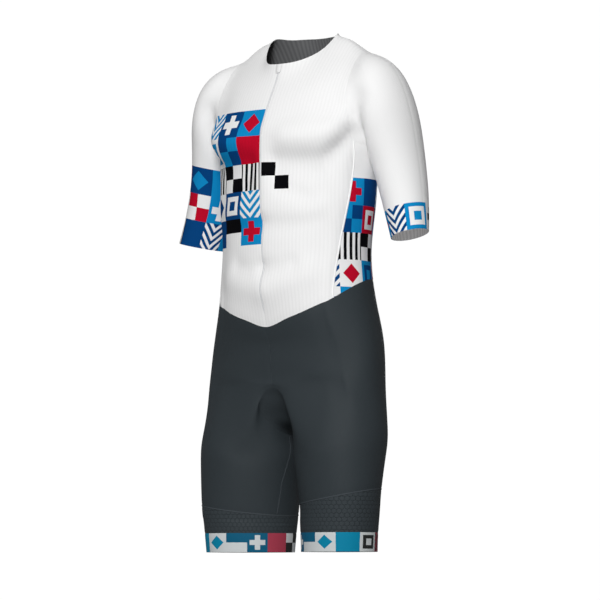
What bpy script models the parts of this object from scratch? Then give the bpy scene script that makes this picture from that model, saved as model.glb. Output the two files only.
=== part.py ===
"""Short-sleeved triathlon suit, standing open and filled out as if it were worn.

The garment hangs from its shoulders: the origin is midway between the two points where the
shoulder seams meet the neck edge, +Z is up, the wearer faces -Y and the wearer's left is +X.
Every table below is in millimetres and gives points of the cloth's outer face.  A coarse net
of quads is laid through the tables, one edge loop along each seam; its smooth limit surface is
cut along the seams into the pieces that are sewn together, and each piece gets its own wall.
"""
import math
from collections import namedtuple

import bmesh
import bpy
import numpy as np

# ---------------------------------------------------------------------------
# Driving dimensions (mm)
# ---------------------------------------------------------------------------
MM = 0.001
WALL = 1.6              # cloth, with its seam allowances
BAND_WALL = 2.0         # elastic leg bands
SEAM_GAP = 0.3          # clear distance between two sewn pieces
ZIP_HALF = 1.7          # half width of the closed zip's coil
ZIP_PROUD = 0.5         # the coil stands this far out of the cloth
ZIP_END = -496          # bottom stop of the zip, above the point of the waist seam
ZIP_TIP = -508          # the coil narrows from the stop down to here
GARAGE_TOP, GARAGE_FOOT = -57.5, -73        # cap of cloth over the top of the zip
GARAGE_HALF = 6.0       # its half width
GARAGE_RISE = 2.0       # how high it domes over the slider
GARAGE_TAPER = 0.25     # share of its width that it loses towards the foot
GARAGE_WALL = 1.0
GARAGE_ROWS, GARAGE_COLUMNS = 7, 9          # points down the cap and across it
SLIDER_TOP, SLIDER_FOOT = -61, -69
SLIDER_HALF = 2.2
SLIDER_THICK = 1.1
ON_CENTRE = 0.01        # a point this close to the middle plane lies on the centre line
EASING = 4              # passes that even out the yoke between its border curves
LONGEST_MITRE = 2.5     # at a sharp corner a piece draws back this many setbacks at most
FIT_ROUNDS = 12         # passes that move the net until its smooth surface meets the tables

# Net columns of one half, counted from the centre front round to the centre back.
CENTRE_FRONT = 0
SIDE_FRONT = 5          # front edge of the side panel, and the armhole's front
SIDE_BACK = 7           # back edge of the side panel, and the armhole's back
NECK_BACK = 9           # where the shoulder seam meets the neck
CENTRE_BACK = 12
YOKE_ROWS = 5           # net rows from the shoulder down to the armpit
BODICE_ROWS = 5         # armpit to waist seam
SEAT_ROWS = 4           # waist seam to the top of the gusset
GUSSET_ROWS = 6         # along the gusset, front to back

# Trunk sections: half width, how far forward its front, widest and back places lie, and how
# square its front and back corners are (2 is an ellipse).
Section = namedtuple("Section", "z half_width y_front y_wide y_back square_front square_back")
TRUNK = (
    Section(-190, 166, -102, 12, 130, 2.70, 2.20),
    Section(-232, 160, -104, 9, 128, 2.15, 2.05),
    Section(-280, 156, -103, 7, 121, 2.02, 2.10),
    Section(-330, 151, -101, 5, 112, 2.00, 2.20),
    Section(-390, 146, -98, 3, 104, 2.00, 2.25),
    Section(-440, 149, -98, 3, 105, 2.10, 2.25),
    Section(-485, 156, -95, 2, 112, 2.12, 2.22),
    Section(-525, 165, -87, 2, 121, 2.20, 2.18),
    Section(-555, 172, -77, 2, 125, 2.30, 2.08),
    Section(-600, 178, -72, 2, 126, 2.45, 2.00),
    Section(-650, 181, -70, 2, 121, 2.90, 2.02),
    Section(-710, 182, -64, 0, 108, 3.00, 2.05),
)

# Heights of the cross seams; a point below 2 makes the front half run to a point.
Seam = namedtuple("Seam", "z_front z_side z_back point")
ARMPIT = Seam(-190, -208, -192, 2.0)
WAIST = Seam(-532, -451, -427, 0.99)
SEAT = Seam(-652, -648, -652, 2.0)

# Angles of the side panel's two seams from the centre front, and of their lines in the shorts.
SideLine = namedtuple("SideLine", "z front back")
SIDE_LINES = (
    SideLine(-206, 73, 124), SideLine(-260, 72, 124), SideLine(-330, 67.5, 123),
    SideLine(-390, 61.5, 122), SideLine(-450, 54, 122), SideLine(-540, 55, 121),
    SideLine(-648, 60, 120),
)

# Centre front and centre back above the armpit row, then the armhole's front and back halves.
Place = namedtuple("Place", "x y z")
CENTRE_FRONT_LINE = (
    Place(0, -46, -56), Place(0, -54, -82), Place(0, -68, -109),
    Place(0, -82, -136), Place(0, -94, -163), Place(0, -102, -190),
)
CENTRE_BACK_LINE = (
    Place(0, 78, 2.5), Place(0, 91, -26), Place(0, 108, -66),
    Place(0, 120, -115), Place(0, 127, -152), Place(0, 130, -190),
)
ARMHOLE_FRONT = (
    Place(134, 32, -34), Place(138, 2, -50), Place(141, -24, -82),
    Place(144, -41, -118), Place(151, -44, -160), Place(160, -32, -204),
)
ARMHOLE_BACK = (
    Place(134, 32, -34), Place(139, 59, -48), Place(145, 77, -82),
    Place(149, 85, -124), Place(147, 87, -164), Place(142, 82, -204),
)
NECKLINE_FRONT = (Place(0, -46, -56), Place(34, -36, -52), Place(63, -2, -30), Place(72, 30, 0))
NECKLINE_BACK = (Place(0, 78, 2.5), Place(32, 73, 3), Place(56, 53, 2), Place(72, 30, 0))
SHOULDER = (Place(72, 30, 0), Place(103, 32, -13), Place(134, 32, -34))

# Sleeve rings from the armhole to the cuff: each ring's top leans out by tilt degrees, and its
# outermost point lies forward of its middle by lead.
Ring = namedtuple("Ring", "x y z tilt half_out half_deep lead")
SLEEVE = (
    Ring(167, 23, -128, 91, 83, 63, 0),
    Ring(187, 20, -144, 76, 75, 63, 0),
    Ring(199, 26, -185, 56, 61, 62, 0),
    Ring(206, 35, -238, 31, 46, 56, 0),
    Ring(218, 37, -304, 16, 42, 48, 4),
    Ring(235, 27, -371, 13, 38, 39, 8.3),
)

# The gusset's centre line and left edge, from the front round under the body to the back.
GUSSET_CENTRE = (
    Place(0, -73, -637), Place(0, -65, -666), Place(0, -43, -692), Place(0, -6, -709),
    Place(0, 44, -708), Place(0, 88, -686), Place(0, 119, -643),
)
GUSSET_EDGE = (
    Place(28, -73, -650), Place(30, -63, -677), Place(24, -42, -702), Place(17, -6, -719),
    Place(20, 44, -719), Place(34, 86, -698), Place(40, 117, -656),
)

# Leg rings below the seat: z at the centre, rise towards the outside and towards the back.
LegRing = namedtuple("LegRing", "z rise_out rise_back x y half_wide half_deep turn")
LEG_TOP = (
    LegRing(-733, 20, 0, 98, 5, 91, 83, -30),
    LegRing(-778, 14, 0, 100, 2, 92, 79, -37),
)
LEG_LEFT_CUT = LegRing(-834, 12, 6, 101.5, 0, 88.5, 71.5, -37)
LEG_RIGHT_CUT = LegRing(-856, 11, 0, 101.5, 0, 87.5, 69.5, -37)
LEG_BAND_TOP = LegRing(-898, 0, 0, 99.5, -1, 83, 68, -37)
LEG_HEM = LegRing(-932, 0, 0, 99.5, -1, 80, 67, -37)
LEG_FIRST_ANGLE = -20   # of the column that comes down from the gusset's front corner
LEG_OUTER_STEP = 22.2   # degrees between the columns that come down from the trunk
LEG_INNER_STEP = 23     # degrees between the columns that come down from the gusset

# Profiles across the zip, as shares of the half width and of the height.
Corner = namedtuple("Corner", "across rise")
COIL_PROFILE = (
    Corner(1, 0.3), Corner(0.4, 1), Corner(-0.4, 1), Corner(-1, 0.3),
)
SLIDER_PROFILE = (
    Corner(-1, 0), Corner(1, 0), Corner(1, 0.6), Corner(0.6, 1), Corner(-0.6, 1), Corner(-1, 0.6),
)

COLOURS = {
    "white": (0.86, 0.87, 0.88, 1),
    "charcoal": (0.030, 0.038, 0.042, 1),
    "dark": (0.040, 0.048, 0.052, 1),
    "band": (0.045, 0.16, 0.24, 1),
    "zip": (0.62, 0.63, 0.65, 1),
}


# ---------------------------------------------------------------------------
# Curves through the tables
# ---------------------------------------------------------------------------
def read_smooth(knots, values, where):
    """Cubic curve through (knots, values), read at where; knots fall or rise steadily."""
    order = np.argsort(knots)
    xs = np.asarray(knots, float)[order]
    ys = np.asarray(values, float)[order]
    slopes = np.gradient(ys, xs)
    i = int(np.clip(np.searchsorted(xs, where) - 1, 0, len(xs) - 2))
    span = xs[i + 1] - xs[i]
    t = (where - xs[i]) / span
    return ((2 * t**3 - 3 * t**2 + 1) * ys[i] + (t**3 - 2 * t**2 + t) * span * slopes[i]
            + (3 * t**2 - 2 * t**3) * ys[i + 1] + (t**3 - t**2) * span * slopes[i + 1])


def trunk_point(degrees, z):
    """A point of the trunk's outer face at an angle from the centre front."""
    heights = [row.z for row in TRUNK]
    width, front, wide, back, square_front, square_back = (
        read_smooth(heights, [row[k] for row in TRUNK], z) for k in range(1, 7))
    sine, cosine = math.sin(math.radians(degrees)), math.cos(math.radians(degrees))
    depth = wide - front if cosine > 0 else back - wide
    power = 2 / (square_front if cosine > 0 else square_back)
    x = width * abs(sine)**power
    y = wide - math.copysign(depth * abs(cosine)**power, cosine)
    return np.array((x, y, z))


def seam_angle(seam, column):
    """Angle of a net column: evenly spread over the front, the side panel and the back."""
    heights = [line.z for line in SIDE_LINES]
    front, back = (read_smooth(heights, [line[k] for line in SIDE_LINES], seam.z_side)
                   for k in (1, 2))
    return float(np.interp(column, (CENTRE_FRONT, SIDE_FRONT, SIDE_BACK, CENTRE_BACK),
                           (0, front, back, 180)))


def seam_height(seam, degrees):
    """Height of a cross seam: its front half can run to a point at the centre front."""
    if degrees < 90:
        return seam.z_front + (seam.z_side - seam.z_front) * (degrees / 90)**seam.point
    blend = 0.5 - 0.5 * math.cos(math.radians(2 * (degrees - 90)))
    return seam.z_side + (seam.z_back - seam.z_side) * blend


def between(upper, lower, share):
    """The table row that lies at a share of the way from one row to another."""
    return type(upper)(*(a + (b - a) * share for a, b in zip(upper, lower)))


def patch(top, bottom, left, right):
    """Grid of points between four border curves (top and bottom run left to right)."""
    rows, columns = len(left), len(top)
    grid = np.zeros((rows, columns, 3))
    for r in range(rows):
        v = r / (rows - 1)
        for c in range(columns):
            u = c / (columns - 1)
            ruled = (1 - u) * left[r] + u * right[r] + (1 - v) * top[c] + v * bottom[c]
            corners = ((1 - v) * ((1 - u) * top[0] + u * top[-1])
                       + v * ((1 - u) * bottom[0] + u * bottom[-1]))
            grid[r, c] = ruled - corners
    for _ in range(EASING):
        eased = (grid[:-2, 1:-1] + grid[2:, 1:-1] + grid[1:-1, :-2] + grid[1:-1, 2:]) / 4
        grid[1:-1, 1:-1] = (grid[1:-1, 1:-1] + eased) / 2
    return grid


def ring_point(ring, degrees):
    """A point of a sleeve ring, counted from straight out and up towards the front."""
    tilt, angle = math.radians(ring.tilt), math.radians(degrees)
    out = ring.half_out * math.cos(angle)
    front = ring.half_deep * math.sin(angle) + ring.lead * math.cos(angle)
    return np.array((ring.x + out * math.cos(tilt), ring.y - front, ring.z + out * math.sin(tilt)))


def leg_point(ring, degrees):
    """A point of a leg ring, counted from the front towards the outside."""
    angle, turn = math.radians(degrees), math.radians(ring.turn)
    out, back = math.sin(angle), -math.cos(angle)
    wide = ring.half_wide * (out * math.cos(turn) + back * math.sin(turn))
    deep = ring.half_deep * (back * math.cos(turn) - out * math.sin(turn))
    x = ring.x + wide * math.cos(turn) - deep * math.sin(turn)
    y = ring.y + wide * math.sin(turn) + deep * math.cos(turn)
    return np.array((x, y, ring.z + ring.rise_out * out + ring.rise_back * back))


# ---------------------------------------------------------------------------
# The net of quads
# ---------------------------------------------------------------------------
class Net:
    """Named points and the quads between them, each quad marked with its piece."""

    def __init__(self):
        self.points = []
        self.number = {}
        self.quads = []
        self.pieces = []

    def put(self, key, point, side):
        if key not in self.number:
            self.number[key] = len(self.points)
            self.points.append(np.array((point[0] * side, point[1], point[2]), float))

    def sew(self, grid, side, piece_of):
        """Quads over a grid of keys; piece_of(row, column) names each quad's piece."""
        for r in range(len(grid) - 1):
            for c in range(len(grid[0]) - 1):
                corners = [grid[r][c], grid[r + 1][c], grid[r + 1][c + 1], grid[r][c + 1]]
                if side < 0:
                    corners.reverse()
                self.quads.append([self.number[key] for key in corners])
                self.pieces.append(piece_of(r, c))


def trunk_key(row, column, side):
    """Columns on the centre lines belong to both halves; the shoulder to front and back."""
    if row == 0 and SIDE_BACK <= column <= NECK_BACK:
        column = CENTRE_BACK - column
    middle = column in (CENTRE_FRONT, CENTRE_BACK)
    return ("trunk", row, column, 0 if middle else side)


def side_name(name, side):
    return name + ("_left" if side > 0 else "_right")


def points_of(places):
    return [np.array(place, float) for place in places]


def add_yoke(net, side):
    """Front and back above the armpits, between neck, shoulder and armhole."""
    armpit = [trunk_point(seam_angle(ARMPIT, c), seam_height(ARMPIT, seam_angle(ARMPIT, c)))
              for c in range(CENTRE_BACK + 1)]
    armpit[SIDE_FRONT] = np.array(ARMHOLE_FRONT[-1], float)
    armpit[SIDE_BACK] = np.array(ARMHOLE_BACK[-1], float)
    front = patch(points_of(NECKLINE_FRONT + SHOULDER[1:]), armpit[:SIDE_FRONT + 1],
                  points_of(CENTRE_FRONT_LINE), points_of(ARMHOLE_FRONT))
    back = patch(points_of(NECKLINE_BACK + SHOULDER[1:]), armpit[:SIDE_BACK - 1:-1],
                 points_of(CENTRE_BACK_LINE), points_of(ARMHOLE_BACK))
    for r in range(YOKE_ROWS + 1):
        for c in range(SIDE_FRONT + 1):
            net.put(trunk_key(r, c, side), front[r, c], side)
            net.put(trunk_key(r, CENTRE_BACK - c, side), back[r, c], side)
    net.put(trunk_key(YOKE_ROWS, SIDE_FRONT + 1, side), armpit[SIDE_FRONT + 1], side)
    rows = range(YOKE_ROWS + 1)
    front_keys = [[trunk_key(r, c, side) for c in range(SIDE_FRONT + 1)] for r in rows]
    back_keys = [[trunk_key(r, c, side) for c in range(SIDE_BACK, CENTRE_BACK + 1)] for r in rows]
    net.sew(front_keys, side, lambda r, c: side_name("front", side))
    net.sew(back_keys, side, lambda r, c: "back")


def trunk_piece(side, in_bodice):
    """Names the piece under a trunk column."""
    def name(row, column):
        if not in_bodice:
            return side_name("leg", side)
        if column < SIDE_FRONT:
            return side_name("front", side)
        return side_name("side", side) if column < SIDE_BACK else "back"
    return name


def add_trunk(net, side):
    """Rings from the armpits over the waist seam down to the gusset's top."""
    last = YOKE_ROWS + BODICE_ROWS + SEAT_ROWS
    for r in range(YOKE_ROWS + 1, last + 1):
        step = r - YOKE_ROWS
        if step <= BODICE_ROWS:
            seam = between(ARMPIT, WAIST, step / BODICE_ROWS)
        else:
            seam = between(WAIST, SEAT, (step - BODICE_ROWS) / SEAT_ROWS)
        for c in range(CENTRE_BACK + 1):
            angle = seam_angle(seam, c)
            net.put(trunk_key(r, c, side), trunk_point(angle, seam_height(seam, angle)), side)
    for c, places in ((0, GUSSET_CENTRE), (1, GUSSET_EDGE)):
        for column, place in ((c, places[0]), (CENTRE_BACK - c, places[-1])):
            key = trunk_key(last, column, side)
            net.points[net.number[key]] = np.array((place.x * side, place.y, place.z), float)
    waist = YOKE_ROWS + BODICE_ROWS
    for first, end, in_bodice in ((YOKE_ROWS, waist, True), (waist, last, False)):
        keys = [[trunk_key(r, c, side) for c in range(CENTRE_BACK + 1)]
                for r in range(first, end + 1)]
        net.sew(keys, side, trunk_piece(side, in_bodice))


def gusset_keys(side):
    """Keys of the gusset's centre line and of its edge on one side."""
    last = YOKE_ROWS + BODICE_ROWS + SEAT_ROWS
    centre, edge = [], []
    for k in range(GUSSET_ROWS + 1):
        if k in (0, GUSSET_ROWS):
            column = 0 if k == 0 else CENTRE_BACK
            centre.append(trunk_key(last, column, side))
            edge.append(trunk_key(last, abs(column - 1), side))
        else:
            centre.append(("gusset", k, 0))
            edge.append(("gusset", k, side))
    return centre, edge


def add_gusset(net, side):
    """Half of the gusset that joins the two legs under the body."""
    centre, edge = gusset_keys(side)
    for k in range(GUSSET_ROWS + 1):
        net.put(centre[k], GUSSET_CENTRE[k], side)
        net.put(edge[k], GUSSET_EDGE[k], side)
    net.sew([[c, e] for c, e in zip(centre, edge)], side, lambda r, c: "gusset")


def add_leg(net, side):
    """One leg from the gusset row to the hem: leg piece, thigh panel and band."""
    cut = LEG_LEFT_CUT if side > 0 else LEG_RIGHT_CUT
    rings = LEG_TOP + (cut, between(cut, LEG_BAND_TOP, 0.5), LEG_BAND_TOP, LEG_HEM)
    last = YOKE_ROWS + BODICE_ROWS + SEAT_ROWS
    top = [trunk_key(last, c, side) for c in range(1, CENTRE_BACK)]
    top += gusset_keys(side)[1][-2:0:-1]
    outer = CENTRE_BACK - 2
    angles = [LEG_FIRST_ANGLE + LEG_OUTER_STEP * i for i in range(outer + 1)]
    angles += [angles[outer] + LEG_INNER_STEP * k for k in range(1, GUSSET_ROWS)]
    grid = [top + top[:1]]
    for r, ring in enumerate(rings):
        keys = [("leg", r, i, side) for i in range(len(angles))]
        for key, angle in zip(keys, angles):
            net.put(key, leg_point(ring, angle), side)
        grid.append(keys + keys[:1])
    cut_row = len(LEG_TOP) + 1
    names = ["leg"] * cut_row + ["thigh_panel"] * 2 + ["leg_band"]
    net.sew(grid, side, lambda r, c: side_name(names[r], side))


def add_sleeve(net, side):
    """One sleeve in a front and a back half, seamed over the arm and under it."""
    down = [trunk_key(r, SIDE_FRONT, side) for r in range(YOKE_ROWS + 1)]
    under = [trunk_key(YOKE_ROWS, SIDE_FRONT + 1, side)]
    up = [trunk_key(r, SIDE_BACK, side) for r in range(YOKE_ROWS, 0, -1)]
    armhole = down + under + up
    count = len(armhole)
    grid = [armhole + armhole[:1]]
    for r, ring in enumerate(SLEEVE):
        keys = [("sleeve", r, i, side) for i in range(count)]
        for i, key in enumerate(keys):
            net.put(key, ring_point(ring, 360 * i / count), side)
        grid.append(keys + keys[:1])
    half = count // 2
    # The armhole runs clockwise seen from outside, so the rows are sewn the other way round.
    net.sew(grid, -side, lambda r, c: side_name("sleeve_front" if c < half else "sleeve_back", side))


# ---------------------------------------------------------------------------
# Smooth surface and walls
# ---------------------------------------------------------------------------
def smooth_surface(points, quads, pieces, names, level):
    """The net's limit surface: vertices, unit normals, quads and each quad's piece number."""
    mesh = bpy.data.meshes.new("net")
    mesh.from_pydata([tuple(p) for p in points], [], quads)
    for face, piece in zip(mesh.polygons, pieces):
        face.material_index = names.index(piece)
    holder = bpy.data.objects.new("net", mesh)
    bpy.context.scene.collection.objects.link(holder)
    smooth = holder.modifiers.new("smooth", "SUBSURF")
    smooth.levels = smooth.render_levels = level
    result = holder.evaluated_get(bpy.context.evaluated_depsgraph_get()).to_mesh()
    verts = np.array([v.co[:] for v in result.vertices])
    normals = np.array([v.normal[:] for v in result.vertices])
    faces = [tuple(face.vertices) for face in result.polygons]
    marks = [face.material_index for face in result.polygons]
    bpy.data.objects.remove(holder)
    bpy.data.meshes.remove(mesh)
    return verts, normals, faces, marks


def fitted_surface(net, names, level):
    """Moves the net's points until its smooth surface passes through the tables' points."""
    wanted = np.array(net.points) * MM
    points = wanted.copy()
    for _ in range(FIT_ROUNDS):
        verts = smooth_surface(points, net.quads, net.pieces, names, 1)[0]
        points += wanted - verts[:len(wanted)]
    return smooth_surface(points, net.quads, net.pieces, names, level)


def border_of(faces):
    """Border edges of a set of faces, each in the direction its own face runs."""
    seen = {}
    for face in faces:
        for a, b in zip(face, face[1:] + face[:1]):
            seen[(a, b)] = True
    return [edge for edge in seen if (edge[1], edge[0]) not in seen]


def setbacks(verts, normals, border, free, gap_at):
    """How far each border vertex draws back so that sewn pieces stay a gap apart."""
    inward = {}
    for a, b in border:
        if (a, b) in free:
            continue
        along = verts[b] - verts[a]
        normal = normals[a] + normals[b]
        into = np.cross(normal, along)
        into /= np.linalg.norm(into)
        for v in (a, b):
            inward.setdefault(v, []).append(into * gap_at((a, b), v))
    moves = {}
    for v, pulls in inward.items():
        if len(pulls) == 1:
            moves[v] = pulls[0]
            continue
        first, second = pulls
        size_1, size_2 = np.linalg.norm(first), np.linalg.norm(second)
        n_1, n_2 = first / size_1, second / size_2
        lean = float(n_1 @ n_2)
        if lean > 0.995:
            moves[v] = (first + second) / 2
        else:
            share = 1 / (1 - lean * lean)
            move = share * ((size_1 - lean * size_2) * n_1 + (size_2 - lean * size_1) * n_2)
            longest = LONGEST_MITRE * max(size_1, size_2)
            moves[v] = move * min(1, longest / np.linalg.norm(move))
    return moves


def make_object(name, verts, faces, colour, roughness):
    """A named object with its own material."""
    mesh = bpy.data.meshes.new(name)
    mesh.from_pydata([tuple(v) for v in verts], [], faces)
    mesh.validate()
    work = bmesh.new()
    work.from_mesh(mesh)
    bmesh.ops.recalc_face_normals(work, faces=work.faces)
    work.to_mesh(mesh)
    work.free()
    mesh.shade_smooth()
    mesh.set_sharp_from_angle(angle=math.radians(50))
    material = bpy.data.materials.new(name)
    material.use_nodes = True
    shader = material.node_tree.nodes["Principled BSDF"]
    shader.inputs["Base Color"].default_value = COLOURS[colour]
    shader.inputs["Roughness"].default_value = roughness
    shader.inputs["Metallic"].default_value = 0.0
    mesh.materials.append(material)
    made = bpy.data.objects.new(name, mesh)
    bpy.context.scene.collection.objects.link(made)
    return made


def walled(name, outer, normals, faces, thickness, colour, roughness):
    """Closes a sheet of faces into a wall of the given thickness, behind its outer face."""
    used = sorted({v for face in faces for v in face})
    slot = {v: i for i, v in enumerate(used)}
    count = len(used)
    front = [outer[v] for v in used]
    rear = [outer[v] - normals[v] * thickness * MM for v in used]
    solid = [tuple(slot[v] for v in face) for face in faces]
    solid += [tuple(slot[v] + count for v in reversed(face)) for face in faces]
    for a, b in border_of(faces):
        a_front, b_front, a_rear, b_rear = slot[a], slot[b], slot[a] + count, slot[b] + count
        # Both pieces at a seam split their rims along the same diagonal, so the gap stays even.
        if a < b:
            solid += [(b_front, a_front, b_rear), (a_front, a_rear, b_rear)]
        else:
            solid += [(b_front, a_front, a_rear), (b_front, a_rear, b_rear)]
    return make_object(name, front + rear, solid, colour, roughness)


LOOKS = {               # piece: wall, colour, roughness
    "front": (WALL, "white", 0.6), "back": (WALL, "white", 0.6), "side": (WALL, "white", 0.6),
    "sleeve_front": (WALL, "white", 0.6), "sleeve_back": (WALL, "white", 0.6),
    "leg": (WALL, "charcoal", 0.5), "gusset": (WALL, "charcoal", 0.5),
    "thigh_panel": (WALL, "dark", 0.6), "leg_band": (BAND_WALL, "band", 0.5),
}


def zip_setback(height):
    """Distance of a front's edge from the centre line, which narrows below the zip's end."""
    full = ZIP_HALF + SEAM_GAP
    end, point = ZIP_END, WAIST.z_front
    share = min(max((height - point) / (end - point), 0), 1)
    return SEAM_GAP / 2 + (full - SEAM_GAP / 2) * share


def make_pieces(verts, normals, faces, marks, names):
    """Cuts the smooth surface along its seams and gives each piece its wall."""
    whole_border = set(border_of(faces))
    for number, name in enumerate(names):
        own = [face for face, mark in zip(faces, marks) if mark == number]
        kind = name.replace("_left", "").replace("_right", "")
        thickness, colour, roughness = LOOKS[kind]

        def gap_at(edge, v, kind=kind):
            on_centre = all(abs(verts[end][0]) < ON_CENTRE * MM for end in edge)
            if kind == "front" and on_centre:
                return zip_setback(verts[v][2] / MM) * MM
            return SEAM_GAP / 2 * MM

        moves = setbacks(verts, normals, border_of(own), whole_border, gap_at)
        outer = {v: verts[v] + moves.get(v, 0) for face in own for v in face}
        walled(name, outer, normals, own, thickness, colour, roughness)


def front_line(verts, normals, faces, marks, names):
    """Centre front of the cloth from the neck to the waist: heights, places and normals."""
    front = [face for face, mark in zip(faces, marks) if names[mark] == "front_left"]
    centre = {v for edge in border_of(front) for v in edge if abs(verts[v][0]) < ON_CENTRE * MM}
    line = sorted(centre, key=lambda v: -verts[v][2])
    return [verts[v][2] / MM for v in line], [verts[v] for v in line], [normals[v] for v in line]


def on_line(line, height):
    """Place and normal on the centre front at a height."""
    heights, places, normals = line
    share = np.interp(-height, [-h for h in heights], range(len(heights)))
    k = min(int(share), len(heights) - 2)
    t = share - k
    normal = (1 - t) * normals[k] + t * normals[k + 1]
    return (1 - t) * places[k] + t * places[k + 1], normal / np.linalg.norm(normal)


def make_bar(name, rings, colour, roughness):
    """A closed bar through rings of as many points each."""
    count = len(rings[0])
    end = (len(rings) - 1) * count
    solid = [tuple(range(count)), tuple(end + k for k in reversed(range(count)))]
    for base in range(0, end, count):
        for k in range(count):
            after = (k + 1) % count
            solid.append((base + k, base + after, base + after + count, base + k + count))
    make_object(name, [point for ring in rings for point in ring], solid, colour, roughness)


def make_zip(line):
    """The closed coil between the two fronts, from the neck edge to its tapered end."""
    rings = []
    for height in [h for h in line[0] if h > ZIP_TIP] + [ZIP_TIP]:
        place, normal = on_line(line, height)
        side = np.array(((zip_setback(height) - SEAM_GAP) * MM, 0.0, 0.0))
        bottom = place - normal * WALL * MM
        rings.append([bottom - side, bottom + side]
                     + [place + side * corner.across + normal * corner.rise * ZIP_PROUD * MM
                        for corner in COIL_PROFILE])
    make_bar("zip", rings, "zip", 0.35)


def make_slider(line):
    """The zip's slider, a small block with chamfered sides, hidden under the cap."""
    rings = []
    for height in (SLIDER_TOP, SLIDER_FOOT):
        place, normal = on_line(line, height)
        floor = place + normal * (ZIP_PROUD + SEAM_GAP) * MM
        rings.append([floor + np.array((corner.across * SLIDER_HALF * MM, 0.0, 0.0))
                      + normal * corner.rise * SLIDER_THICK * MM for corner in SLIDER_PROFILE])
    make_bar("zip_slider", rings, "zip", 0.3)


def make_garage(line):
    """A domed cap of cloth sewn over the top of the zip, hollow for the slider."""
    outer, inner = [], []
    for down in np.linspace(-1, 1, GARAGE_ROWS):
        foot = max(down, 0)
        place, normal = on_line(line, GARAGE_TOP + (GARAGE_FOOT - GARAGE_TOP) * (down + 1) / 2)
        for across in np.linspace(-1, 1, GARAGE_COLUMNS):
            dome = (1 - across**2) * (1 - foot**4)
            lift = SEAM_GAP + ZIP_PROUD * (1 - abs(across)) + dome * (GARAGE_RISE - ZIP_PROUD)
            side = np.array((across * GARAGE_HALF * (1 - GARAGE_TAPER * foot**2) * MM, 0.0, 0.0))
            inner.append(place + side + normal * lift * MM)
            outer.append(place + side + normal * (lift + GARAGE_WALL) * MM)
    faces = [tuple(r * GARAGE_COLUMNS + c + step for step in (0, GARAGE_COLUMNS, GARAGE_COLUMNS + 1, 1))
             for r in range(GARAGE_ROWS - 1) for c in range(GARAGE_COLUMNS - 1)]
    count = len(outer)
    solid = faces + [tuple(v + count for v in reversed(face)) for face in faces]
    solid += [(b, a, a + count, b + count) for a, b in border_of(faces)]
    make_object("zip_garage", outer + inner, solid, "white", 0.6)


def main():
    for old in list(bpy.data.objects):
        bpy.data.objects.remove(old)
    net = Net()
    for side in (1, -1):
        add_yoke(net, side)
        add_trunk(net, side)
        add_gusset(net, side)
        add_leg(net, side)
        add_sleeve(net, side)
    names = sorted(set(net.pieces))
    surface = fitted_surface(net, names, 1)
    make_pieces(*surface, names)
    line = front_line(*surface, names)
    make_zip(line)
    make_slider(line)
    make_garage(line)


main()
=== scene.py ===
"""Short-sleeved triathlon suit, standing open and filled out as if it were worn."""
import math
from collections import namedtuple

import bpy
import numpy as np
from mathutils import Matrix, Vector


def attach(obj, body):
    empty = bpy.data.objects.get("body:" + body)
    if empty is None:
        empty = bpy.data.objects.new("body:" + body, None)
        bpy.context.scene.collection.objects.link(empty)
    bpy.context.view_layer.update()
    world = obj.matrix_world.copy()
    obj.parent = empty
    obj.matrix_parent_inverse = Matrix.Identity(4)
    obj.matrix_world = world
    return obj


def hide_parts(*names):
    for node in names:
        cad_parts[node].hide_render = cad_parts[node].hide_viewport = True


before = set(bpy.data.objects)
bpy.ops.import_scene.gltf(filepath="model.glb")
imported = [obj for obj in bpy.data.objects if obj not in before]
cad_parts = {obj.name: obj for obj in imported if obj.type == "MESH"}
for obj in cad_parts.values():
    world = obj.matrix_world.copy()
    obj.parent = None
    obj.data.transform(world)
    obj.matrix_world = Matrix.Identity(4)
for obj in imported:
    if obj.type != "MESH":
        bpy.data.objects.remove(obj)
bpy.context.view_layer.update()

FLOOR_Z = -1.30
FLOOR_RADIUS = 11.0
DOME_RADIUS = 14.0
FLOOR_GLOW = 0.38       # makes the floor look brighter; it lights nothing
WORLD_LIGHT = 0.22      # even light from all round
CAMERA_AZIMUTH, CAMERA_ELEVATION, CAMERA_DISTANCE = 37.0, -3.9, 7.5
CAMERA_AIM = Vector((0.0072, 0.0054, -0.479))
CAMERA_LENS = 250.0


def direction(azimuth, elevation):
    """Unit vector out of the suit; azimuth 0 is straight in front of the wearer."""
    a, e = math.radians(azimuth), math.radians(elevation)
    return Vector((math.sin(a) * math.cos(e), -math.cos(a) * math.cos(e), math.sin(e)))


def plain_material(name, colour, roughness, specular=0.5, glow=0.0):
    """A material of one even colour, which may also shine white."""
    made = bpy.data.materials.new(name)
    made.use_nodes = True
    shader = made.node_tree.nodes["Principled BSDF"]
    for socket, value in (("Base Color", (*colour, 1)), ("Roughness", roughness),
                          ("Specular IOR Level", specular),
                          ("Emission Color", (1, 1, 1, 1)), ("Emission Strength", glow)):
        shader.inputs[socket].default_value = value
    return made


bpy.ops.mesh.primitive_circle_add(vertices=96, radius=FLOOR_RADIUS, fill_type="NGON",
                                  location=(0, 0, FLOOR_Z))
floor = bpy.context.object
floor.name = "floor"
floor.data.materials.append(plain_material("pale_floor", (0.85, 0.85, 0.85), 0.9, glow=FLOOR_GLOW))
bpy.ops.mesh.primitive_uv_sphere_add(segments=64, ring_count=32, radius=DOME_RADIUS)
dome = bpy.context.object
dome.name = "backdrop"
dome.data.materials.append(plain_material("white_backdrop", (0, 0, 0), 0.5, glow=1.0))
for seen_by in ("visible_diffuse", "visible_glossy", "visible_transmission", "visible_shadow"):
    setattr(dome, seen_by, False)
    setattr(floor, seen_by, False)

world = bpy.data.worlds.new("studio")
world.use_nodes = True
world.node_tree.nodes["Background"].inputs["Color"].default_value = (1, 1, 1, 1)
world.node_tree.nodes["Background"].inputs["Strength"].default_value = WORLD_LIGHT
bpy.context.scene.world = world

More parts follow.
